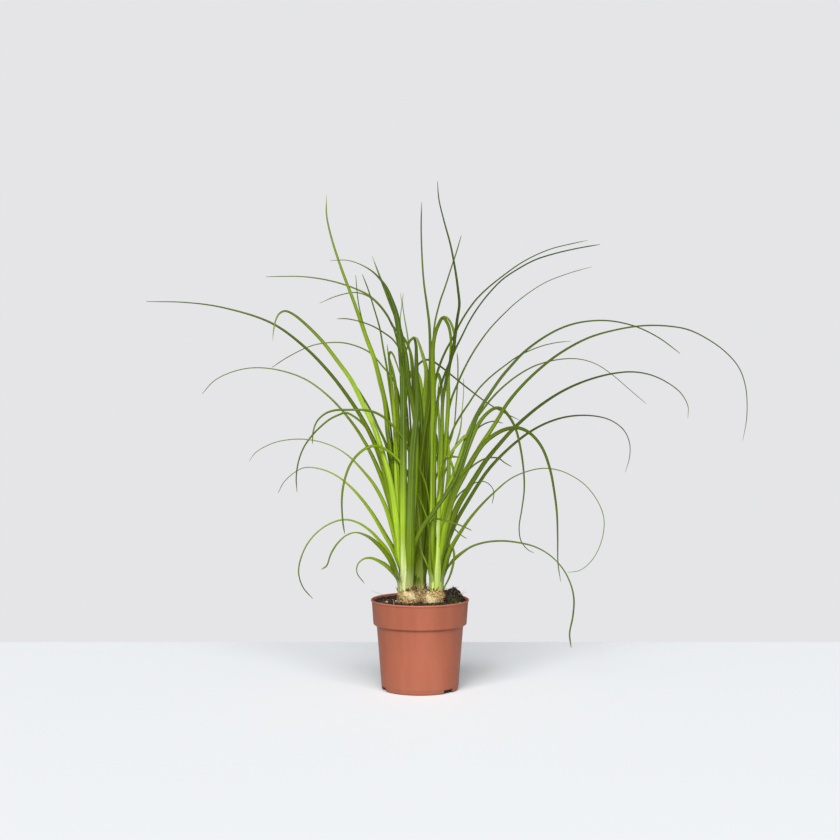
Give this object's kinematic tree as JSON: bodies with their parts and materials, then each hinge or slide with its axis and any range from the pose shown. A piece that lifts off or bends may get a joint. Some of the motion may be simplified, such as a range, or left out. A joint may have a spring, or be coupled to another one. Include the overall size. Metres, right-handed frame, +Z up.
{
  "type": "potted ponytail palm",
  "caption": "Young ponytail palm in a tapered plastic nursery pot: small swollen bulbs standing in dark soil, each with a tuft of long arching strap leaves.",
  "frame": {"origin": "the middle of the pot's flat underside, on the pot's axis", "axes": "+Z up along the pot's axis; -Y towards the front of the plant; X across it, along its widest spread, with the clod of soil on the +X side"},
  "size_m": [0.7285, 0.5207, 0.6128],
  "materials": {
    "pot_plastic": "smooth moulded terracotta-coloured plastic with a soft sheen",
    "soil": "dark fibrous peat with pale specks, a lumpy clod and a patch of moss",
    "bulb_skin": "rough tan skin with flaky brown scales",
    "leaf": "smooth fine-ribbed strap leaf, lime to dark olive green, pale at the base"
  },
  "bodies": {
    "root": {"pot": "pot_plastic", "soil": "soil", "bulb_left": "bulb_skin", "bulb_right": "bulb_skin", "bulb_back": "bulb_skin", "leaves_left": "leaf", "leaves_right": "leaf", "leaves_back": "leaf"}
  },
  "joints": []
}
